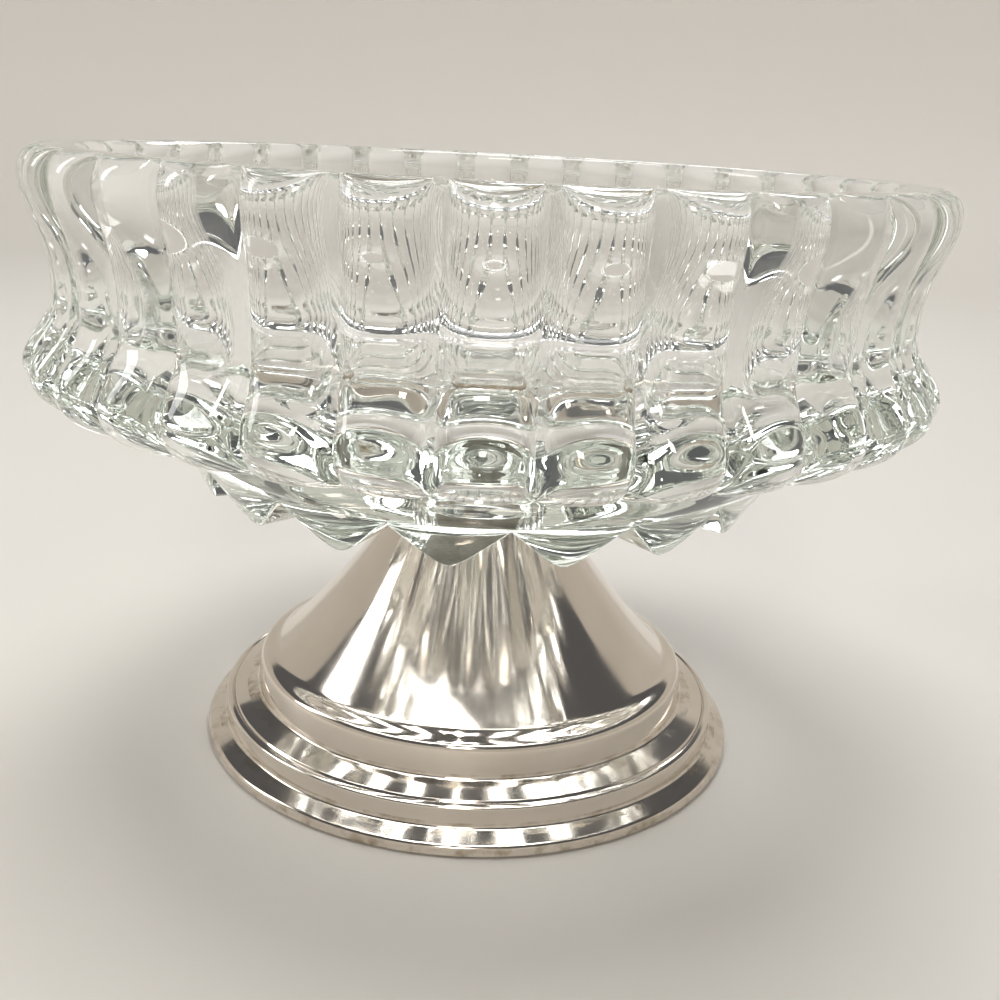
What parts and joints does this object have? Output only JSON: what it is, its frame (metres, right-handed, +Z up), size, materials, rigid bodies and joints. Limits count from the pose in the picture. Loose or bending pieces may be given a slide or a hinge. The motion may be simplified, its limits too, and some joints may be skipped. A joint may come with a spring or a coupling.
{
  "type": "footed dessert dish",
  "caption": "Round pressed-glass dessert bowl with upright flutes, a beaded shoulder and a star-cut underside, screwed onto a spun silver-plated pedestal foot.",
  "frame": {"origin": "middle of the felt pad's underside, where the dish stands on the table", "axes": "+Z up along the axis of the bowl and foot; -Y is the side that the picture shows; a flute's crown faces -Y"},
  "size_m": [0.154, 0.154, 0.1038],
  "materials": {
    "felt": "matt pressed felt",
    "fibreboard": "matt pressed board",
    "silver_plate": "spun and polished silver plate, lightly worn at the edge",
    "turned_brass": "turned",
    "cork": "matt pressed cork",
    "pressed_glass": "fire-polished pressed glass",
    "cement": "matt set cement",
    "stud_brass": "turned and threaded"
  },
  "bodies": {
    "pedestal": {"felt_pad": "felt", "base_plate": "fibreboard", "pedestal_shell": "silver_plate", "threaded_bush": "turned_brass"},
    "gasket": {"seat_gasket": "cork"},
    "bowl": {"glass_bowl": "pressed_glass", "stud_cement": "cement", "bowl_stud": "stud_brass"}
  },
  "joints": [
    {"name": "bowl_lift", "type": "slide", "parent": "pedestal", "child": "gasket", "axis": [0, 0, 1], "range_m": [0, 0.0075]},
    {"name": "bowl_turn", "type": "hinge", "parent": "gasket", "child": "bowl", "pos_m": [0, 0, 0.0485], "axis": [0, 0, 1], "range_deg": [0, 2160]}
  ],
  "couplings": [
    {"joint": "bowl_lift", "follows": "bowl_turn", "m_per_rad": 0.00019894}
  ]
}
